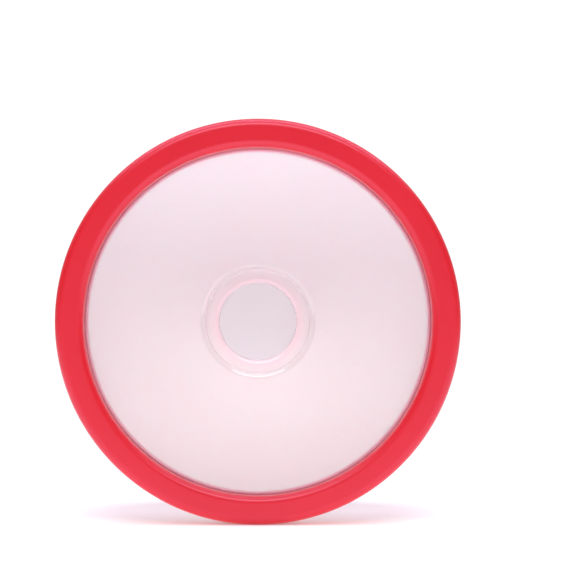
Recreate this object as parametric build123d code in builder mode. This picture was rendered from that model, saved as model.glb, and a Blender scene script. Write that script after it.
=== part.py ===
"""Silicone cupping cup: a coral contact ring, a translucent dome and a squeeze bulb.

Every piece is turned about the cup's axis, which lies along Y. The open mouth is at Y = 0 and
faces -Y, the bulb points along +Y, and the cup stands on the edge of its ring with +Z up.
The origin is the centre of the mouth, in the plane that meets the skin. Units are millimetres.
Profiles are drawn on the XY plane, where X is the radius and Y is the depth behind the mouth.
"""

from build123d import *
import os

# Contact ring: the thick coral rim that seals on the skin.
RING_RADIUS = 37.5
RING_WIDTH = 5.35
RING_DEPTH = 9.0
RING_OUTER_EDGE = 1.45
RING_INNER_EDGE = 1.4
RING_BACK_INNER_EDGE = 0.5

# Dome: a soft shell whose flange is seated in a groove inside the contact ring.
DOME_WALL = 2.4
DOME_MOUTH_RADIUS = 31.75
DOME_MOUTH_EDGE = 0.4
DOME_ARCH = 24.0
FLANGE_RADIUS = 35.2
FLANGE_FRONT = 4.0
FLANGE_THICKNESS = 2.4

# Neck: the short tube behind the dome that holds the bulb's spigot.
NECK_BORE = 10.1
NECK_WALL = 2.3
NECK_END = 38.0
NECK_FRONT_EDGE = 0.65
NECK_ROOT_FILLET = 3.0
NECK_END_EDGE = 0.4

# Spigot and shoulder: the front of the bulb, plugged into the neck.
SPIGOT_CLEARANCE = 0.05
SPIGOT_FRONT = 34.0
SPIGOT_BORE = 7.6
SPIGOT_LIP = 2.3
SHOULDER_GAP = 0.1
SHOULDER_THICKNESS = 1.8
SHOULDER_EDGE = 0.5

# Bulb: the hollow ball that is squeezed to draw air out of the cup.
WAIST_RADIUS = 10.6
WAIST_FILLET = 1.2
BULB_RADIUS = 16.5
BULB_WALL = 2.2
BULB_CENTRE = 53.5
CROWN_SETBACK = 2.5

RING_INNER_RADIUS = RING_RADIUS - RING_WIDTH
DOME_RADIUS = DOME_MOUTH_RADIUS + DOME_WALL
FLANGE_BACK = FLANGE_FRONT + FLANGE_THICKNESS
NECK_RADIUS = NECK_BORE + NECK_WALL
SPIGOT_RADIUS = NECK_BORE - SPIGOT_CLEARANCE
SHOULDER_FRONT = NECK_END + SHOULDER_GAP
SHOULDER_BACK = SHOULDER_FRONT + SHOULDER_THICKNESS
CROWN_FRONT = BULB_CENTRE + CROWN_SETBACK
BULB_END = BULB_CENTRE + BULB_RADIUS


def band(inner, outer, front, back, mode=Mode.ADD):
    """Rectangle of a turned profile, between two radii and two depths."""
    with Locations((inner, front)):
        Rectangle(outer - inner, back - front, align=(Align.MIN, Align.MIN), mode=mode)


def oval(centre, radius, half_length, mode=Mode.ADD):
    """Ellipse of a turned profile, centred on the cup's axis at a depth."""
    with Locations((0, centre)):
        Ellipse(radius, half_length, mode=mode)


def ball(radius, mode=Mode.ADD):
    """Circle of a turned profile, centred where the bulb is widest."""
    with Locations((0, BULB_CENTRE)):
        Circle(radius, mode=mode)


def round_corner(profile, radius, depth, edge):
    """Round the corner of a profile that is nearest to a radius and a depth."""
    fillet(profile.vertices().sort_by_distance((radius, depth))[0], edge)


def oval_depth(centre, radius, half_length, at_radius):
    """Depth of an oval's back at a radius, or of its front where its half length is negative."""
    return centre + half_length * (1 - (at_radius / radius) ** 2) ** 0.5


def write_step(builder, name):
    """Label a finished piece and write it as one STEP file."""
    builder.part.label = name
    export_step(builder.part, f"parts/{name}.step")


# Contact ring, with the groove and the back lip that hold the dome's flange.
with BuildPart() as contact_ring:
    with BuildSketch(Plane.XY) as ring_profile:
        band(RING_INNER_RADIUS, RING_RADIUS, 0, RING_DEPTH)
        band(RING_INNER_RADIUS, FLANGE_RADIUS, FLANGE_FRONT, FLANGE_BACK, mode=Mode.SUBTRACT)
        band(RING_INNER_RADIUS, DOME_RADIUS, FLANGE_BACK, RING_DEPTH, mode=Mode.SUBTRACT)
        round_corner(ring_profile, RING_RADIUS, 0, RING_OUTER_EDGE)
        round_corner(ring_profile, RING_RADIUS, RING_DEPTH, RING_OUTER_EDGE)
        round_corner(ring_profile, RING_INNER_RADIUS, 0, RING_INNER_EDGE)
        round_corner(ring_profile, DOME_RADIUS, RING_DEPTH, RING_BACK_INNER_EDGE)
    revolve(axis=Axis.Y)

# Dome: half an oval shell, a straight collar with its flange, and the neck at the back.
with BuildPart() as dome:
    with BuildSketch(Plane.XY) as dome_profile:
        oval(RING_DEPTH, DOME_RADIUS, DOME_ARCH + DOME_WALL)
        band(0, DOME_RADIUS, RING_DEPTH, NECK_END, mode=Mode.INTERSECT)
        band(0, NECK_RADIUS, RING_DEPTH, NECK_END)
        root_depth = oval_depth(RING_DEPTH, DOME_RADIUS, DOME_ARCH + DOME_WALL, NECK_RADIUS)
        round_corner(dome_profile, NECK_RADIUS, root_depth, NECK_ROOT_FILLET)
        round_corner(dome_profile, NECK_RADIUS, NECK_END, NECK_END_EDGE)
        oval(RING_DEPTH, DOME_MOUTH_RADIUS, DOME_ARCH, mode=Mode.SUBTRACT)
        band(0, NECK_BORE, RING_DEPTH, NECK_END, mode=Mode.SUBTRACT)
        band(DOME_MOUTH_RADIUS, DOME_RADIUS, FLANGE_FRONT, RING_DEPTH)
        band(DOME_MOUTH_RADIUS, FLANGE_RADIUS, FLANGE_FRONT, FLANGE_BACK)
        bore_depth = oval_depth(RING_DEPTH, DOME_MOUTH_RADIUS, DOME_ARCH, NECK_BORE)
        round_corner(dome_profile, NECK_BORE, bore_depth, NECK_FRONT_EDGE)
        round_corner(dome_profile, DOME_MOUTH_RADIUS, FLANGE_FRONT, DOME_MOUTH_EDGE)
    revolve(axis=Axis.Y)

# Bulb body: the spigot in the neck, the shoulder behind it and the wall that folds.
with BuildPart() as bulb_body:
    with BuildSketch(Plane.XY) as body_profile:
        ball(BULB_RADIUS)
        band(0, BULB_RADIUS, SHOULDER_BACK, CROWN_FRONT, mode=Mode.INTERSECT)
        band(0, WAIST_RADIUS, SHOULDER_BACK, BULB_CENTRE)
        waist_depth = oval_depth(BULB_CENTRE, BULB_RADIUS, -BULB_RADIUS, WAIST_RADIUS)
        round_corner(body_profile, WAIST_RADIUS, waist_depth, WAIST_FILLET)
        band(0, NECK_RADIUS, SHOULDER_FRONT, SHOULDER_BACK)
        round_corner(body_profile, NECK_RADIUS, SHOULDER_FRONT, SHOULDER_EDGE)
        round_corner(body_profile, NECK_RADIUS, SHOULDER_BACK, SHOULDER_EDGE)
        band(0, SPIGOT_RADIUS, SPIGOT_FRONT, SHOULDER_FRONT)
        ball(BULB_RADIUS - BULB_WALL, mode=Mode.SUBTRACT)
        band(0, SPIGOT_BORE, SPIGOT_FRONT, BULB_CENTRE, mode=Mode.SUBTRACT)
        round_corner(body_profile, SPIGOT_BORE, SPIGOT_FRONT, SPIGOT_LIP)
    revolve(axis=Axis.Y)

# Bulb crown: the back of the bulb, which the thumb pushes in.
with BuildPart() as bulb_crown:
    with BuildSketch(Plane.XY) as crown_profile:
        ball(BULB_RADIUS)
        band(0, BULB_RADIUS, CROWN_FRONT, BULB_END, mode=Mode.INTERSECT)
        ball(BULB_RADIUS - BULB_WALL, mode=Mode.SUBTRACT)
    revolve(axis=Axis.Y)

os.makedirs("parts", exist_ok=True)
write_step(contact_ring, "contact_ring")
write_step(dome, "dome")
write_step(bulb_body, "bulb_body")
write_step(bulb_crown, "bulb_crown")
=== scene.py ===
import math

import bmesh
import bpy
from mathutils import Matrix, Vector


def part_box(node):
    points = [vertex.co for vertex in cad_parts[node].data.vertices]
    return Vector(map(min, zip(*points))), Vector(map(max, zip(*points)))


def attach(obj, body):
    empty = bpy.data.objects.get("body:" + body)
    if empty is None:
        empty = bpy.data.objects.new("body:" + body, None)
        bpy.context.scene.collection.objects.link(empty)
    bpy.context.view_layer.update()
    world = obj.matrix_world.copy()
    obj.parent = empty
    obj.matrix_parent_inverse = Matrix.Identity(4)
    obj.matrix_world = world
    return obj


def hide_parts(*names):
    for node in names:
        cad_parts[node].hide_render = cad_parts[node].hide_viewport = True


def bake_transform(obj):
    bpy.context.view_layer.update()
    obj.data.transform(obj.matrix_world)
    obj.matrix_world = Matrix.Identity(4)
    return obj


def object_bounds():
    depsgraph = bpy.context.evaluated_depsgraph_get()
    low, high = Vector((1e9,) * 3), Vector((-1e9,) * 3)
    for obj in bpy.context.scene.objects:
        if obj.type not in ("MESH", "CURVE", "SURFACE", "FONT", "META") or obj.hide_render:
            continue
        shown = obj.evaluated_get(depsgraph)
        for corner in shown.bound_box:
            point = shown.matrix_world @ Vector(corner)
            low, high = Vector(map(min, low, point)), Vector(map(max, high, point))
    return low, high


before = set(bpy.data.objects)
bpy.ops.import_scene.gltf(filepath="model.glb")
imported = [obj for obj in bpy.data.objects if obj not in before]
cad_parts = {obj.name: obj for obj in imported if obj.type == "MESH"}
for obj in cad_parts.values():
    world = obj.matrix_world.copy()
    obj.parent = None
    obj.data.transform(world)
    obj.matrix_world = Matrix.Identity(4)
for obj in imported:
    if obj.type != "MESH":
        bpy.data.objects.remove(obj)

# A silicone cupping cup, standing on the edge of its ring with its open mouth to the camera.
# Lengths are metres. The cup's axis is Y: the mouth is at Y = 0 and the bulb lies behind it.
# An outline is a list of (radius, depth) points, and lathe() turns it about that axis.
# Colours are linear red, green and blue.

cad_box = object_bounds()

MM = 0.001

# Sizes that the CAD frame gives.
ring_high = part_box("contact_ring")[1]
dome_low, dome_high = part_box("dome")
body_low, body_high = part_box("bulb_body")
crown_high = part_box("bulb_crown")[1]
RING_RADIUS = ring_high.x
RING_BACK = ring_high.y
FLANGE_RADIUS = dome_high.x
FLANGE_FRONT = dome_low.y
NECK_END = dome_high.y
SPIGOT_FRONT = body_low.y
BULB_RADIUS = body_high.x
BULB_END = crown_high.y
BULB_CENTRE = BULB_END - BULB_RADIUS

# Sizes inside those boxes. An edge, a lip or a fillet is the radius of a rounding.
RING_WIDTH = 5.35 * MM
RING_OUTER_EDGE = 1.45 * MM
RING_INNER_EDGE = 1.4 * MM
RING_SEAM_HALF = 0.12 * MM
RING_SEAM_DEPTH = 0.05 * MM
DOME_WALL = 2.4 * MM
DOME_MOUTH_RADIUS = 31.75 * MM
DOME_ARCH = 24.0 * MM
FLANGE_THICKNESS = 2.4 * MM
SEAM_WIDTH = 0.22 * MM
SEAM_DEPTH = 0.62 * MM
SEAM_EDGE = 0.06 * MM
NECK_BORE = 10.1 * MM
NECK_WALL = 2.3 * MM
NECK_FRONT_EDGE = 1.0 * MM
NECK_ROOT_FILLET = 3.0 * MM
SPIGOT_BORE = 7.6 * MM
SPIGOT_LIP = 0.8 * MM
SPIGOT_PRESS = 0.02 * MM
SPIGOT_EDGE = 0.02 * MM
SHOULDER_GAP = 0.1 * MM
SHOULDER_THICKNESS = 1.8 * MM
WAIST_RADIUS = 10.6 * MM
BULB_WALL = 2.2 * MM
SMALL_EDGE = 0.4 * MM

# Room between a rounded corner and the end of the oval arc beside it.
NECK_FRONT_ROOM = 2 * NECK_FRONT_EDGE
NECK_ROOT_ROOM = 1.5 * NECK_ROOT_FILLET
SPIGOT_BACK_ROOM = 1.5 * MM
WAIST_ROOM = 1.0 * MM

RING_INNER_RADIUS = RING_RADIUS - RING_WIDTH
FLANGE_BACK = FLANGE_FRONT + FLANGE_THICKNESS
DOME_RADIUS = DOME_MOUTH_RADIUS + DOME_WALL
NECK_RADIUS = NECK_BORE + NECK_WALL

# Fineness of the turned meshes.
SEGMENTS = 256
ARC_STEPS = 8
OVAL_STEPS = 40
ON_AXIS = 1e-7


# ---------------------------------------------------------------- outlines and meshes

def rounded(corners, closed=True):
    """Outline through (radius, depth, rounding) corners, where a rounding becomes an arc."""
    outline = []
    count = len(corners)
    for i, (radius, depth, rounding) in enumerate(corners):
        corner = Vector((radius, depth))
        if rounding == 0 or (not closed and i in (0, count - 1)):
            outline.append(corner)
            continue
        before = (Vector(corners[i - 1][:2]) - corner).normalized()
        after = (Vector(corners[(i + 1) % count][:2]) - corner).normalized()
        half_angle = before.angle(after) / 2
        reach = rounding / math.tan(half_angle)
        centre = corner + (before + after).normalized() * rounding / math.sin(half_angle)
        first = corner + before * reach - centre
        last = corner + after * reach - centre
        start = math.atan2(first.y, first.x)
        turn = math.atan2(first.x * last.y - first.y * last.x, first.dot(last))
        for step in range(ARC_STEPS + 1):
            angle = start + turn * step / ARC_STEPS
            outline.append(centre + rounding * Vector((math.cos(angle), math.sin(angle))))
    return outline


def oval_arc(centre, radius, half_length, first_radius, last_radius):
    """Corners with no rounding along an axis-centred oval, between two of its radii."""
    first = math.acos(first_radius / radius)
    last = math.acos(last_radius / radius)
    angles = [first + (last - first) * step / OVAL_STEPS for step in range(OVAL_STEPS + 1)]
    return [(radius * math.cos(a), centre + half_length * math.sin(a), 0) for a in angles]


def oval_depth(centre, radius, half_length, at_radius):
    """Depth of an axis-centred oval at a radius, in front of its centre where half_length is negative."""
    return centre + half_length * math.sqrt(1 - (at_radius / radius) ** 2)


def turned_rows(mesh, outline):
    """One ring of vertices for each outline point, or a single vertex where it is on the axis."""
    rows = []
    for point in outline:
        if point.x < ON_AXIS:
            rows.append([mesh.verts.new((0, point.y, 0))])
            continue
        row = []
        for k in range(SEGMENTS):
            angle = 2 * math.pi * k / SEGMENTS
            row.append(mesh.verts.new((point.x * math.cos(angle), point.y, point.x * math.sin(angle))))
        rows.append(row)
    return rows


def keep_places(data):
    """Store each vertex's own place, so that patterns stay put when a pose moves the mesh."""
    places = data.attributes.new("own_place", "FLOAT_VECTOR", "POINT")
    for vertex, place in zip(data.vertices, places.data):
        place.vector = vertex.co


def lathe(name, outline, closed=True):
    """Smooth mesh turned about the Y axis from an outline that is closed, or ends on the axis."""
    mesh = bmesh.new()
    rows = turned_rows(mesh, outline)
    pairs = list(zip(rows, rows[1:]))
    if closed:
        pairs.append((rows[-1], rows[0]))
    for here, there in pairs:
        for k in range(SEGMENTS):
            n = (k + 1) % SEGMENTS
            near = [here[k], here[n]] if len(here) > 1 else here
            far = [there[n], there[k]] if len(there) > 1 else there
            mesh.faces.new(near + far)
    bmesh.ops.recalc_face_normals(mesh, faces=mesh.faces)
    data = bpy.data.meshes.new(name)
    mesh.to_mesh(data)
    mesh.free()
    data.shade_smooth()
    keep_places(data)
    piece = bpy.data.objects.new(name, data)
    bpy.context.scene.collection.objects.link(piece)
    return piece


def even_normals(piece):
    """Keep the flat stretches of a turned piece flat where small roundings meet them."""
    modifier = piece.modifiers.new("even_normals", "WEIGHTED_NORMAL")
    modifier.keep_sharp = True


# ---------------------------------------------------------------- pieces

def make_ring():
    """The coral rim, with its parting line and the groove and back lip that hold the dome."""
    seam = RING_BACK / 2
    outline = rounded([
        (RING_INNER_RADIUS, 0, RING_INNER_EDGE),
        (RING_RADIUS, 0, RING_OUTER_EDGE),
        (RING_RADIUS, seam - RING_SEAM_HALF, 0),
        (RING_RADIUS - RING_SEAM_DEPTH, seam, 0),
        (RING_RADIUS, seam + RING_SEAM_HALF, 0),
        (RING_RADIUS, RING_BACK, RING_OUTER_EDGE),
        (DOME_RADIUS, RING_BACK, SMALL_EDGE),
        (DOME_RADIUS, FLANGE_BACK, 0),
        (FLANGE_RADIUS, FLANGE_BACK, 0),
        (FLANGE_RADIUS, FLANGE_FRONT, 0),
        (RING_INNER_RADIUS, FLANGE_FRONT, SMALL_EDGE / 2),
    ])
    return lathe("coral_ring", outline)


def make_dome():
    """The translucent shell: oval arch, neck, the flange that the ring grips, and a thin seam beside it."""
    inner_arch = (RING_BACK, DOME_MOUTH_RADIUS, DOME_ARCH)
    outer_arch = (RING_BACK, DOME_RADIUS, DOME_ARCH + DOME_WALL)
    inner_stop = NECK_BORE + NECK_FRONT_ROOM
    outer_stop = NECK_RADIUS + NECK_ROOT_ROOM
    outline = rounded([
        (FLANGE_RADIUS, FLANGE_FRONT, 0),
        (RING_INNER_RADIUS, FLANGE_FRONT, 0),
        (RING_INNER_RADIUS, FLANGE_FRONT + SEAM_DEPTH, 0),
        (RING_INNER_RADIUS - SEAM_WIDTH, FLANGE_FRONT + SEAM_DEPTH, 0),
        (RING_INNER_RADIUS - SEAM_WIDTH, FLANGE_FRONT, SEAM_EDGE),
        (DOME_MOUTH_RADIUS - SEAM_EDGE, FLANGE_FRONT, SEAM_EDGE),
        *oval_arc(*inner_arch, DOME_MOUTH_RADIUS, inner_stop),
        (NECK_BORE, oval_depth(*inner_arch, NECK_BORE), NECK_FRONT_EDGE),
        (NECK_BORE, NECK_END, 0),
        (NECK_RADIUS, NECK_END, SMALL_EDGE),
        (NECK_RADIUS, oval_depth(*outer_arch, NECK_RADIUS), NECK_ROOT_FILLET),
        *oval_arc(*outer_arch, outer_stop, DOME_RADIUS),
        (DOME_RADIUS, FLANGE_BACK, 0),
        (FLANGE_RADIUS, FLANGE_BACK, 0),
    ])
    return lathe("dome_shell", outline)


def make_bulb():
    """The hollow squeeze bulb: ball, waist, shoulder, and the spigot pressed into the neck."""
    cavity_radius = BULB_RADIUS - BULB_WALL
    spigot_radius = NECK_BORE + SPIGOT_PRESS
    shoulder_front = NECK_END + SHOULDER_GAP
    shoulder_back = shoulder_front + SHOULDER_THICKNESS
    cavity_front = (BULB_CENTRE, cavity_radius, -cavity_radius)
    cavity_back = (BULB_CENTRE, cavity_radius, cavity_radius)
    ball_front = (BULB_CENTRE, BULB_RADIUS, -BULB_RADIUS)
    ball_back = (BULB_CENTRE, BULB_RADIUS, BULB_RADIUS)
    outline = rounded([
        *oval_arc(*cavity_back, 0, cavity_radius),
        *oval_arc(*cavity_front, cavity_radius, SPIGOT_BORE + SPIGOT_BACK_ROOM)[1:],
        (SPIGOT_BORE, oval_depth(*cavity_front, SPIGOT_BORE), 2 * SMALL_EDGE),
        (SPIGOT_BORE, SPIGOT_FRONT, SPIGOT_LIP),
        (spigot_radius, SPIGOT_FRONT, SPIGOT_EDGE),
        (spigot_radius, shoulder_front, 0),
        (NECK_RADIUS, shoulder_front, SMALL_EDGE),
        (NECK_RADIUS, shoulder_back, SMALL_EDGE),
        (WAIST_RADIUS, shoulder_back, SMALL_EDGE / 2),
        (WAIST_RADIUS, oval_depth(*ball_front, WAIST_RADIUS), SMALL_EDGE),
        *oval_arc(*ball_front, WAIST_RADIUS + WAIST_ROOM, BULB_RADIUS),
        *oval_arc(*ball_back, BULB_RADIUS, 0)[1:],
    ], closed=False)
    return lathe("squeeze_bulb", outline, closed=False)


# ---------------------------------------------------------------- materials

# Noise seldom leaves this range.
NOISE_LOW = 0.3
NOISE_HIGH = 0.7


class Nodes:
    """Short calls for adding nodes to one node tree and joining them."""

    def __init__(self, tree):
        self.tree = tree

    def add(self, kind, **settings):
        node = self.tree.nodes.new(kind)
        for name, value in settings.items():
            setattr(node, name, value)
        return node

    def join(self, source, target):
        self.tree.links.new(source, target)

    def axes(self, place):
        """The X, Y and Z of a vector, by name."""
        parts = self.add("ShaderNodeSeparateXYZ")
        self.join(place, parts.inputs["Vector"])
        return parts.outputs

    def math(self, operation, first, second=0.0):
        """Result of one operation on sockets or numbers."""
        node = self.add("ShaderNodeMath", operation=operation)
        for value, socket in zip((first, second), node.inputs):
            if isinstance(value, (int, float)):
                socket.default_value = value
            else:
                self.join(value, socket)
        return node.outputs["Value"]

    def spread(self, source, low, high, start=NOISE_LOW, end=NOISE_HIGH, smooth=False):
        """A value moved from its own range, start to end, to the range low to high."""
        node = self.add("ShaderNodeMapRange")
        node.interpolation_type = "SMOOTHSTEP" if smooth else "LINEAR"
        self.join(source, node.inputs["Value"])
        node.inputs["From Min"].default_value = start
        node.inputs["From Max"].default_value = end
        node.inputs["To Min"].default_value = low
        node.inputs["To Max"].default_value = high
        return node.outputs["Result"]

    def mix(self, factor, first, second):
        """Colour between two colours or colour sockets."""
        node = self.add("ShaderNodeMixRGB")
        self.join(factor, node.inputs["Fac"])
        for value, socket in ((first, node.inputs["Color1"]), (second, node.inputs["Color2"])):
            if isinstance(value, tuple):
                socket.default_value = (*value, 1)
            else:
                self.join(value, socket)
        return node.outputs["Color"]


class Skin(Nodes):
    """One material with a Principled shader, its patterns fixed to the places that a mesh keeps."""

    def __init__(self, name):
        self.material = bpy.data.materials.new(name)
        self.material.use_nodes = True
        super().__init__(self.material.node_tree)
        self.shader = self.tree.nodes["Principled BSDF"]
        self.place = self.add("ShaderNodeAttribute", attribute_name="own_place").outputs["Vector"]

    def noise(self, size, detail=3.0, roughness=0.5):
        """Noise whose features are about one size across."""
        node = self.add("ShaderNodeTexNoise")
        self.join(self.place, node.inputs["Vector"])
        node.inputs["Scale"].default_value = 1 / size
        node.inputs["Detail"].default_value = detail
        node.inputs["Roughness"].default_value = roughness
        return node.outputs["Fac"]

    def distance(self, point):
        """Distance from a point."""
        node = self.add("ShaderNodeVectorMath", operation="DISTANCE")
        self.join(self.place, node.inputs[0])
        node.inputs[1].default_value = point
        return node.outputs["Value"]

    def off_axis(self):
        """Distance from the cup's axis."""
        flat = self.add("ShaderNodeVectorMath", operation="MULTIPLY")
        self.join(self.place, flat.inputs[0])
        flat.inputs[1].default_value = (1, 0, 1)
        length = self.add("ShaderNodeVectorMath", operation="LENGTH")
        self.join(flat.outputs["Vector"], length.inputs[0])
        return length.outputs["Value"]

    def drive(self, name, source):
        """A pattern on one of the shader's sockets."""
        self.join(source, self.shader.inputs[name])

    def bump(self, height, strength, distance):
        """Bump from a height pattern, on top of any bump that the skin has."""
        node = self.add("ShaderNodeBump")
        node.inputs["Strength"].default_value = strength
        node.inputs["Distance"].default_value = distance
        self.join(height, node.inputs["Height"])
        for link in self.shader.inputs["Normal"].links:
            self.join(link.from_socket, node.inputs["Normal"])
        self.drive("Normal", node.outputs["Normal"])

    def set(self, **values):
        """Uniform values, straight on the shader's own sockets."""
        for name, value in values.items():
            self.shader.inputs[name.replace("_", " ")].default_value = value


# The ring.
CORAL = (0.82, 0.007, 0.015)
DEEP_CORAL = (0.78, 0.005, 0.012)
CORAL_SHEEN = (1.0, 0.58, 0.95)

# The dome and the bulb. Roughness is SATIN on moulded faces and POLISHED on polished ones.
MILK = (0.970, 0.897, 0.905)
WARM_MILK = (0.960, 0.877, 0.885)
CLEAR_MILK = (0.998, 0.890, 0.930)
CLEAR_ROSE = (0.998, 0.860, 0.895)
# Painted reflection of the coral ring on the dome beside it, fading out by the depth below.
PAINTED_RING_REFLECTION = (0.92, 0.34, 0.42)
PAINTED_REFLECTION_END = 1.3 * RING_BACK
LIP_PINK = (0.998, 0.945, 0.965)
# Painted coral reflection on the lip towards the bore, also the colour of the lip's painted glow.
LIP_PAINTED_CORAL_LIGHT = (0.998, 0.83, 0.88)
LIP_GLOW = 0.12
BULB_CLEARNESS = 0.96
SATIN = 0.50
POLISHED = 0.08


def coral_silicone():
    """Dense coral silicone with a fine matte skin."""
    skin = Skin("coral_silicone")
    tone = skin.spread(skin.noise(size=18 * MM, detail=2), low=0, high=1)
    skin.drive("Base Color", skin.mix(tone, CORAL, DEEP_CORAL))
    skin.drive("Roughness", skin.spread(skin.noise(size=2.4 * MM, detail=4), low=0.36, high=0.40))
    unevenness = skin.noise(size=6 * MM, detail=2)
    grain = skin.noise(size=0.28 * MM, detail=3, roughness=0.6)
    skin.bump(unevenness, strength=0.05, distance=0.06 * MM)
    skin.bump(grain, strength=0.15, distance=0.012 * MM)
    skin.set(Subsurface_Weight=0.12, Subsurface_Radius=(1.0, 0.12, 0.10), Subsurface_Scale=1.2 * MM)
    skin.set(IOR=1.50, Specular_IOR_Level=0.7, Specular_Tint=(*CORAL_SHEEN, 1))
    skin.set(Coat_Weight=0.5, Coat_Roughness=0.30, Coat_IOR=1.5)
    return skin.material


def milky_silicone(name, tones, light_reach):
    """Skin of translucent milky silicone between two tones, for a piece to add a painted coral reflection
    to and to polish.
    """
    skin = Skin(name)
    skin.tone = skin.mix(skin.spread(skin.noise(size=25 * MM, detail=1), low=0, high=1), *tones)
    skin.wear = skin.spread(skin.noise(size=5 * MM, detail=3), low=0.9, high=1.1)
    unevenness = skin.noise(size=16 * MM, detail=1)
    grain = skin.noise(size=0.45 * MM, detail=3)
    skin.bump(unevenness, strength=0.05, distance=0.1 * MM)
    skin.bump(grain, strength=0.06, distance=0.008 * MM)
    skin.set(Subsurface_Weight=1.0, Subsurface_Radius=(1.0, 0.80, 0.85), Subsurface_Scale=light_reach)
    skin.set(IOR=1.41, Specular_IOR_Level=0.7)
    return skin


def polish(skin, amount):
    """Gloss where the amount is one, as a polished core pin leaves it, and satin where it is zero."""
    roughness = skin.spread(amount, SATIN, POLISHED, start=0, end=1)
    skin.drive("Roughness", skin.math("MULTIPLY", roughness, skin.wear))
    skin.drive("Coat Weight", amount)
    skin.set(Coat_Roughness=POLISHED, Coat_IOR=1.6)


def dome_silicone():
    """Milky silicone with a painted coral reflection of the ring beside it, polished inside the neck."""
    skin = milky_silicone("dome_silicone", (MILK, WARM_MILK), light_reach=4 * MM)
    depth = skin.axes(skin.place)["Y"]
    # Coral near the flange, fading with depth: a painted reflection of the ring, which also turns the seam
    # groove rose.
    past_painted_reflection = skin.spread(depth, 0, 1, start=FLANGE_FRONT, end=PAINTED_REFLECTION_END, smooth=True)
    skin.drive("Base Color", skin.mix(past_painted_reflection, PAINTED_RING_REFLECTION, skin.tone))
    edge = NECK_BORE + NECK_FRONT_EDGE
    polish(skin, skin.spread(skin.off_axis(), 1, 0, start=edge, end=edge + SMALL_EDGE))
    return skin.material


def bulb_silicone():
    """Clear tinted silicone, turning dense and polished towards the lip of the spigot, where a painted
    coral reflection deepens towards the bore and a painted glow lights it.
    """
    skin = milky_silicone("bulb_silicone", (CLEAR_MILK, CLEAR_ROSE), light_reach=12 * MM)
    depth = skin.axes(skin.place)["Y"]
    beyond_lip = skin.spread(depth, 0, 1, start=SPIGOT_FRONT, end=NECK_END + SHOULDER_THICKNESS)
    across_lip = skin.spread(skin.off_axis(), 0, 1, start=SPIGOT_BORE, end=NECK_BORE, smooth=True)
    # Deeper rose towards the bore: a painted coral reflection of the ring on the lip.
    lip = skin.mix(across_lip, LIP_PAINTED_CORAL_LIGHT, LIP_PINK)
    skin.drive("Base Color", skin.mix(beyond_lip, lip, skin.tone))
    skin.drive("Subsurface Weight", beyond_lip)
    skin.drive("Transmission Weight", skin.math("MULTIPLY", beyond_lip, BULB_CLEARNESS))
    at_lip = skin.spread(beyond_lip, 1, 0, start=0, end=1)
    polish(skin, at_lip)
    # A faint glow stands in for the light that the thick lip carries from the dome.
    skin.set(Emission_Color=(*LIP_PAINTED_CORAL_LIGHT, 1))
    skin.drive("Emission Strength", skin.math("MULTIPLY", at_lip, LIP_GLOW))
    return skin.material


# ---------------------------------------------------------------- studio

# The camera's lens and sensor are in millimetres.
CAMERA_DISTANCE = 0.50
CAMERA_LENS = 171.5
CAMERA_SENSOR = 36
CAMERA_AIM_UP = math.radians(0.77)
CAMERA_AIM_RIGHT = math.radians(0.57)

# The floor: a painted rose shadow and a dimmer glow under the cup, dimmer still at the ring's contact as a
# painted contact shadow; white and brighter away from it.
FLOOR_HALF = 0.42
FLOOR_PAINTED_SHADOW_END = 0.7 * RING_RADIUS
FLOOR_WHITE_START = 1.25 * RING_RADIUS
FLOOR_CONTACT_END = 0.3 * RING_BACK
FLOOR_OPEN_START = 1.2 * RING_BACK
FLOOR_PAINTED_SHADOW_ROSE = (0.80, 0.64, 0.68)
FLOOR_WHITE = (0.74, 0.71, 0.72)
FLOOR_PALE = (0.73, 0.70, 0.71)
FLOOR_GLOW = 0.55
FLOOR_GLOW_IN_PAINTED_SHADOW = 0.27
FLOOR_PAINTED_CONTACT_SHADE = 0.65

# The light of the surroundings. SIDE_SHARE is what is left of it at the far left and right.
FRONT_LEVEL = 0.26
BACK_LEVEL = 0.75
SIDE_SHARE = 0.5
BACKDROP_LEVEL = 1.1

# What the softboxes are turned to.
MOUTH_CENTRE = Vector((0, 0, 0))


def make_floor():
    """Wide pale floor under the cup's ring, with a painted shadow under the cup: rose colour and a weaker
    glow there, weaker still at the ring's contact.
    """
    half = FLOOR_HALF
    data = bpy.data.meshes.new("studio_floor")
    level = cad_box[0].z
    corners = [(-half, -half, level), (half, -half, level), (half, half, level), (-half, half, level)]
    data.from_pydata(corners, [], [(0, 1, 2, 3)])
    keep_places(data)
    floor = bpy.data.objects.new("studio_floor", data)
    bpy.context.scene.collection.objects.link(floor)
    paint = Skin("floor_paint")
    from_cup = paint.distance((0, NECK_END, level))
    past_painted_shadow = paint.spread(from_cup, 0, 1, start=FLOOR_PAINTED_SHADOW_END, end=FLOOR_WHITE_START, smooth=True)
    glow = paint.spread(past_painted_shadow, FLOOR_GLOW_IN_PAINTED_SHADOW, FLOOR_GLOW, start=0, end=1)
    from_contact = paint.distance((0, RING_BACK / 2, level))
    past_painted_contact_shade = paint.spread(from_contact, FLOOR_PAINTED_CONTACT_SHADE, 1,
                              start=FLOOR_CONTACT_END, end=FLOOR_OPEN_START, smooth=True)
    # The glow is dimmed under the cup and more at the ring's contact: a painted shadow.
    paint.drive("Emission Strength", paint.math("MULTIPLY", glow, past_painted_contact_shade))
    pale = paint.mix(paint.spread(paint.noise(size=0.3, detail=2), low=0, high=1), FLOOR_WHITE, FLOOR_PALE)
    # Rose under the cup: a painted shadow tinted like the coral ring's bounce.
    paint.drive("Base Color", paint.mix(past_painted_shadow, FLOOR_PAINTED_SHADOW_ROSE, pale))
    paint.set(Roughness=0.7, Emission_Color=(1, 1, 1, 1))
    data.materials.append(paint.material)


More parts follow.
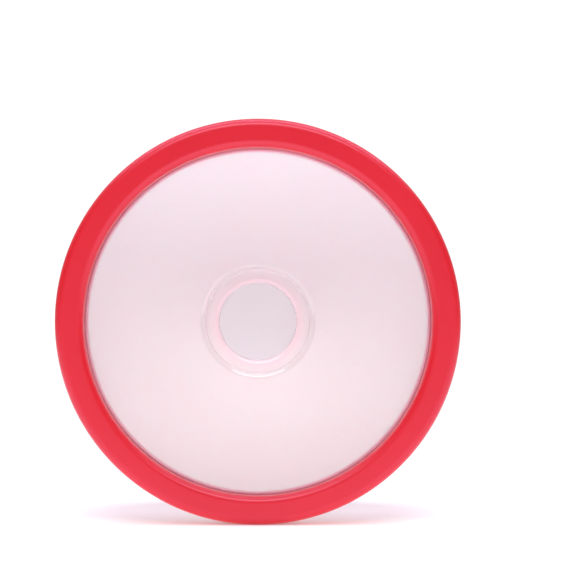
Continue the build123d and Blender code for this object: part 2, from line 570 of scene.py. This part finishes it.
def add_softbox(name, place, size, power, colour):
    """Rectangular softbox at a place, turned to the middle of the cup's mouth."""
    lamp = bpy.data.lights.new(name, "AREA")
    lamp.shape = "RECTANGLE"
    lamp.size, lamp.size_y = size
    lamp.energy = power
    lamp.color = colour
    holder = bpy.data.objects.new(name, lamp)
    holder.location = place
    holder.rotation_euler = (MOUTH_CENTRE - Vector(place)).to_track_quat("-Z", "Y").to_euler()
    bpy.context.scene.collection.objects.link(holder)


def light_studio():
    """White backdrop to the eye. Its light is strongest from behind, and two softboxes add to it."""
    world = bpy.data.worlds.new("studio")
    bpy.context.scene.world = world
    world.use_nodes = True
    nodes = Nodes(world.node_tree)
    way = nodes.axes(nodes.add("ShaderNodeTexCoord").outputs["Generated"])
    level = nodes.spread(way["Y"], FRONT_LEVEL, BACK_LEVEL, start=-0.6, end=0.3, smooth=True)
    sideways = nodes.math("ABSOLUTE", way["X"])
    share = nodes.spread(sideways, 1, SIDE_SHARE, start=0.45, end=0.95, smooth=True)
    strength = nodes.math("MULTIPLY", level, share)
    eye = nodes.add("ShaderNodeLightPath").outputs["Is Camera Ray"]
    seen = nodes.add("ShaderNodeMix")
    nodes.join(eye, seen.inputs[0])
    nodes.join(strength, seen.inputs[2])
    seen.inputs[3].default_value = BACKDROP_LEVEL
    background = world.node_tree.nodes["Background"]
    nodes.join(seen.outputs[0], background.inputs["Strength"])
    background.inputs["Color"].default_value = (1, 1, 1, 1)
    add_softbox("front_softbox", place=(0, -0.40, 0.39), size=(0.45, 0.12), power=1.3,
                colour=(1.0, 0.95, 0.97))
    add_softbox("overhead_softbox", place=(0, 0, 0.5), size=(0.9, 0.12), power=1.8,
                colour=(0.72, 0.74, 1.0))


def place_camera():
    """Camera level with the cup's centre, aimed a little above it and to the right."""
    lens = bpy.data.cameras.new("camera")
    lens.sensor_width = CAMERA_SENSOR
    lens.lens = CAMERA_LENS
    camera = bpy.data.objects.new("camera", lens)
    camera.location = (0, -CAMERA_DISTANCE, 0)
    camera.rotation_euler = (math.pi / 2 + CAMERA_AIM_UP, 0, -CAMERA_AIM_RIGHT)
    bpy.context.scene.collection.objects.link(camera)
    bpy.context.scene.camera = camera
    bpy.context.scene.view_settings.view_transform = "Standard"


# ---------------------------------------------------------------- the cup

def finish_piece(piece, material, slot, *nodes):
    """Give a piece its material and even normals, and hide the CAD nodes that it stands for."""
    piece.data.materials.append(material)
    even_normals(piece)
    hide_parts(*nodes)


ring = make_ring()
finish_piece(ring, coral_silicone(), "ring_silicone", "contact_ring")
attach(ring, "rim")

dome = make_dome()
finish_piece(dome, dome_silicone(), "dome_silicone", "dome")
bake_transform(dome)

bulb = make_bulb()
finish_piece(bulb, bulb_silicone(), "bulb_silicone", "bulb_body", "bulb_crown")
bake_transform(bulb)

make_floor()
light_studio()
place_camera()
